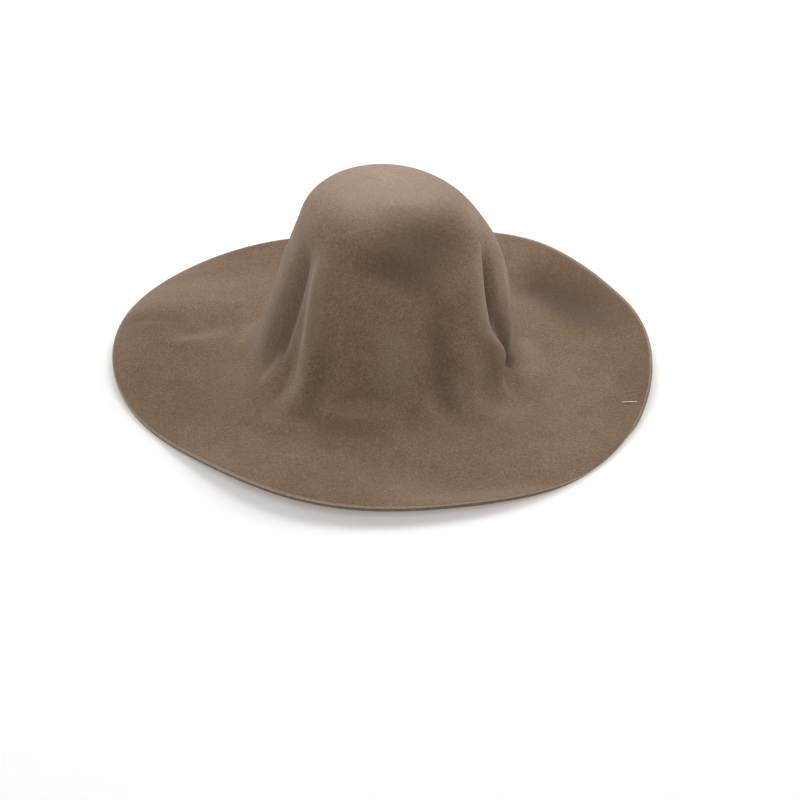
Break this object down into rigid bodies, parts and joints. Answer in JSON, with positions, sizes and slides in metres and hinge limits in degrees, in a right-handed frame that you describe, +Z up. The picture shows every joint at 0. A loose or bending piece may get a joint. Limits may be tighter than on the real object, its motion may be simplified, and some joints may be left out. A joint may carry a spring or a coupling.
{
  "type": "cowboy hat body",
  "caption": "Unblocked wool-felt cowboy hat body: open dome crown, soft vertical folds, wide wavy raw-edged brim, paper ticket stapled under the brim.",
  "frame": {"origin": "bottom centre of the hat's box, on the surface that the brim rests on, under the crown", "axes": "+Z up through the crown's tip; -Y is the front of the hat; +X is the side of the brim that carries the staple"},
  "size_m": [0.4526, 0.4413, 0.1761],
  "materials": {
    "felt": "matte taupe-brown wool felt with a short nap, raw cut edge",
    "staple_wire": "bright galvanised staple wire",
    "ticket_paper": "plain uncoated off-white ticket, blank"
  },
  "bodies": {
    "root": {"felt_body": "felt", "staple": "staple_wire", "ticket": "ticket_paper"}
  },
  "joints": []
}
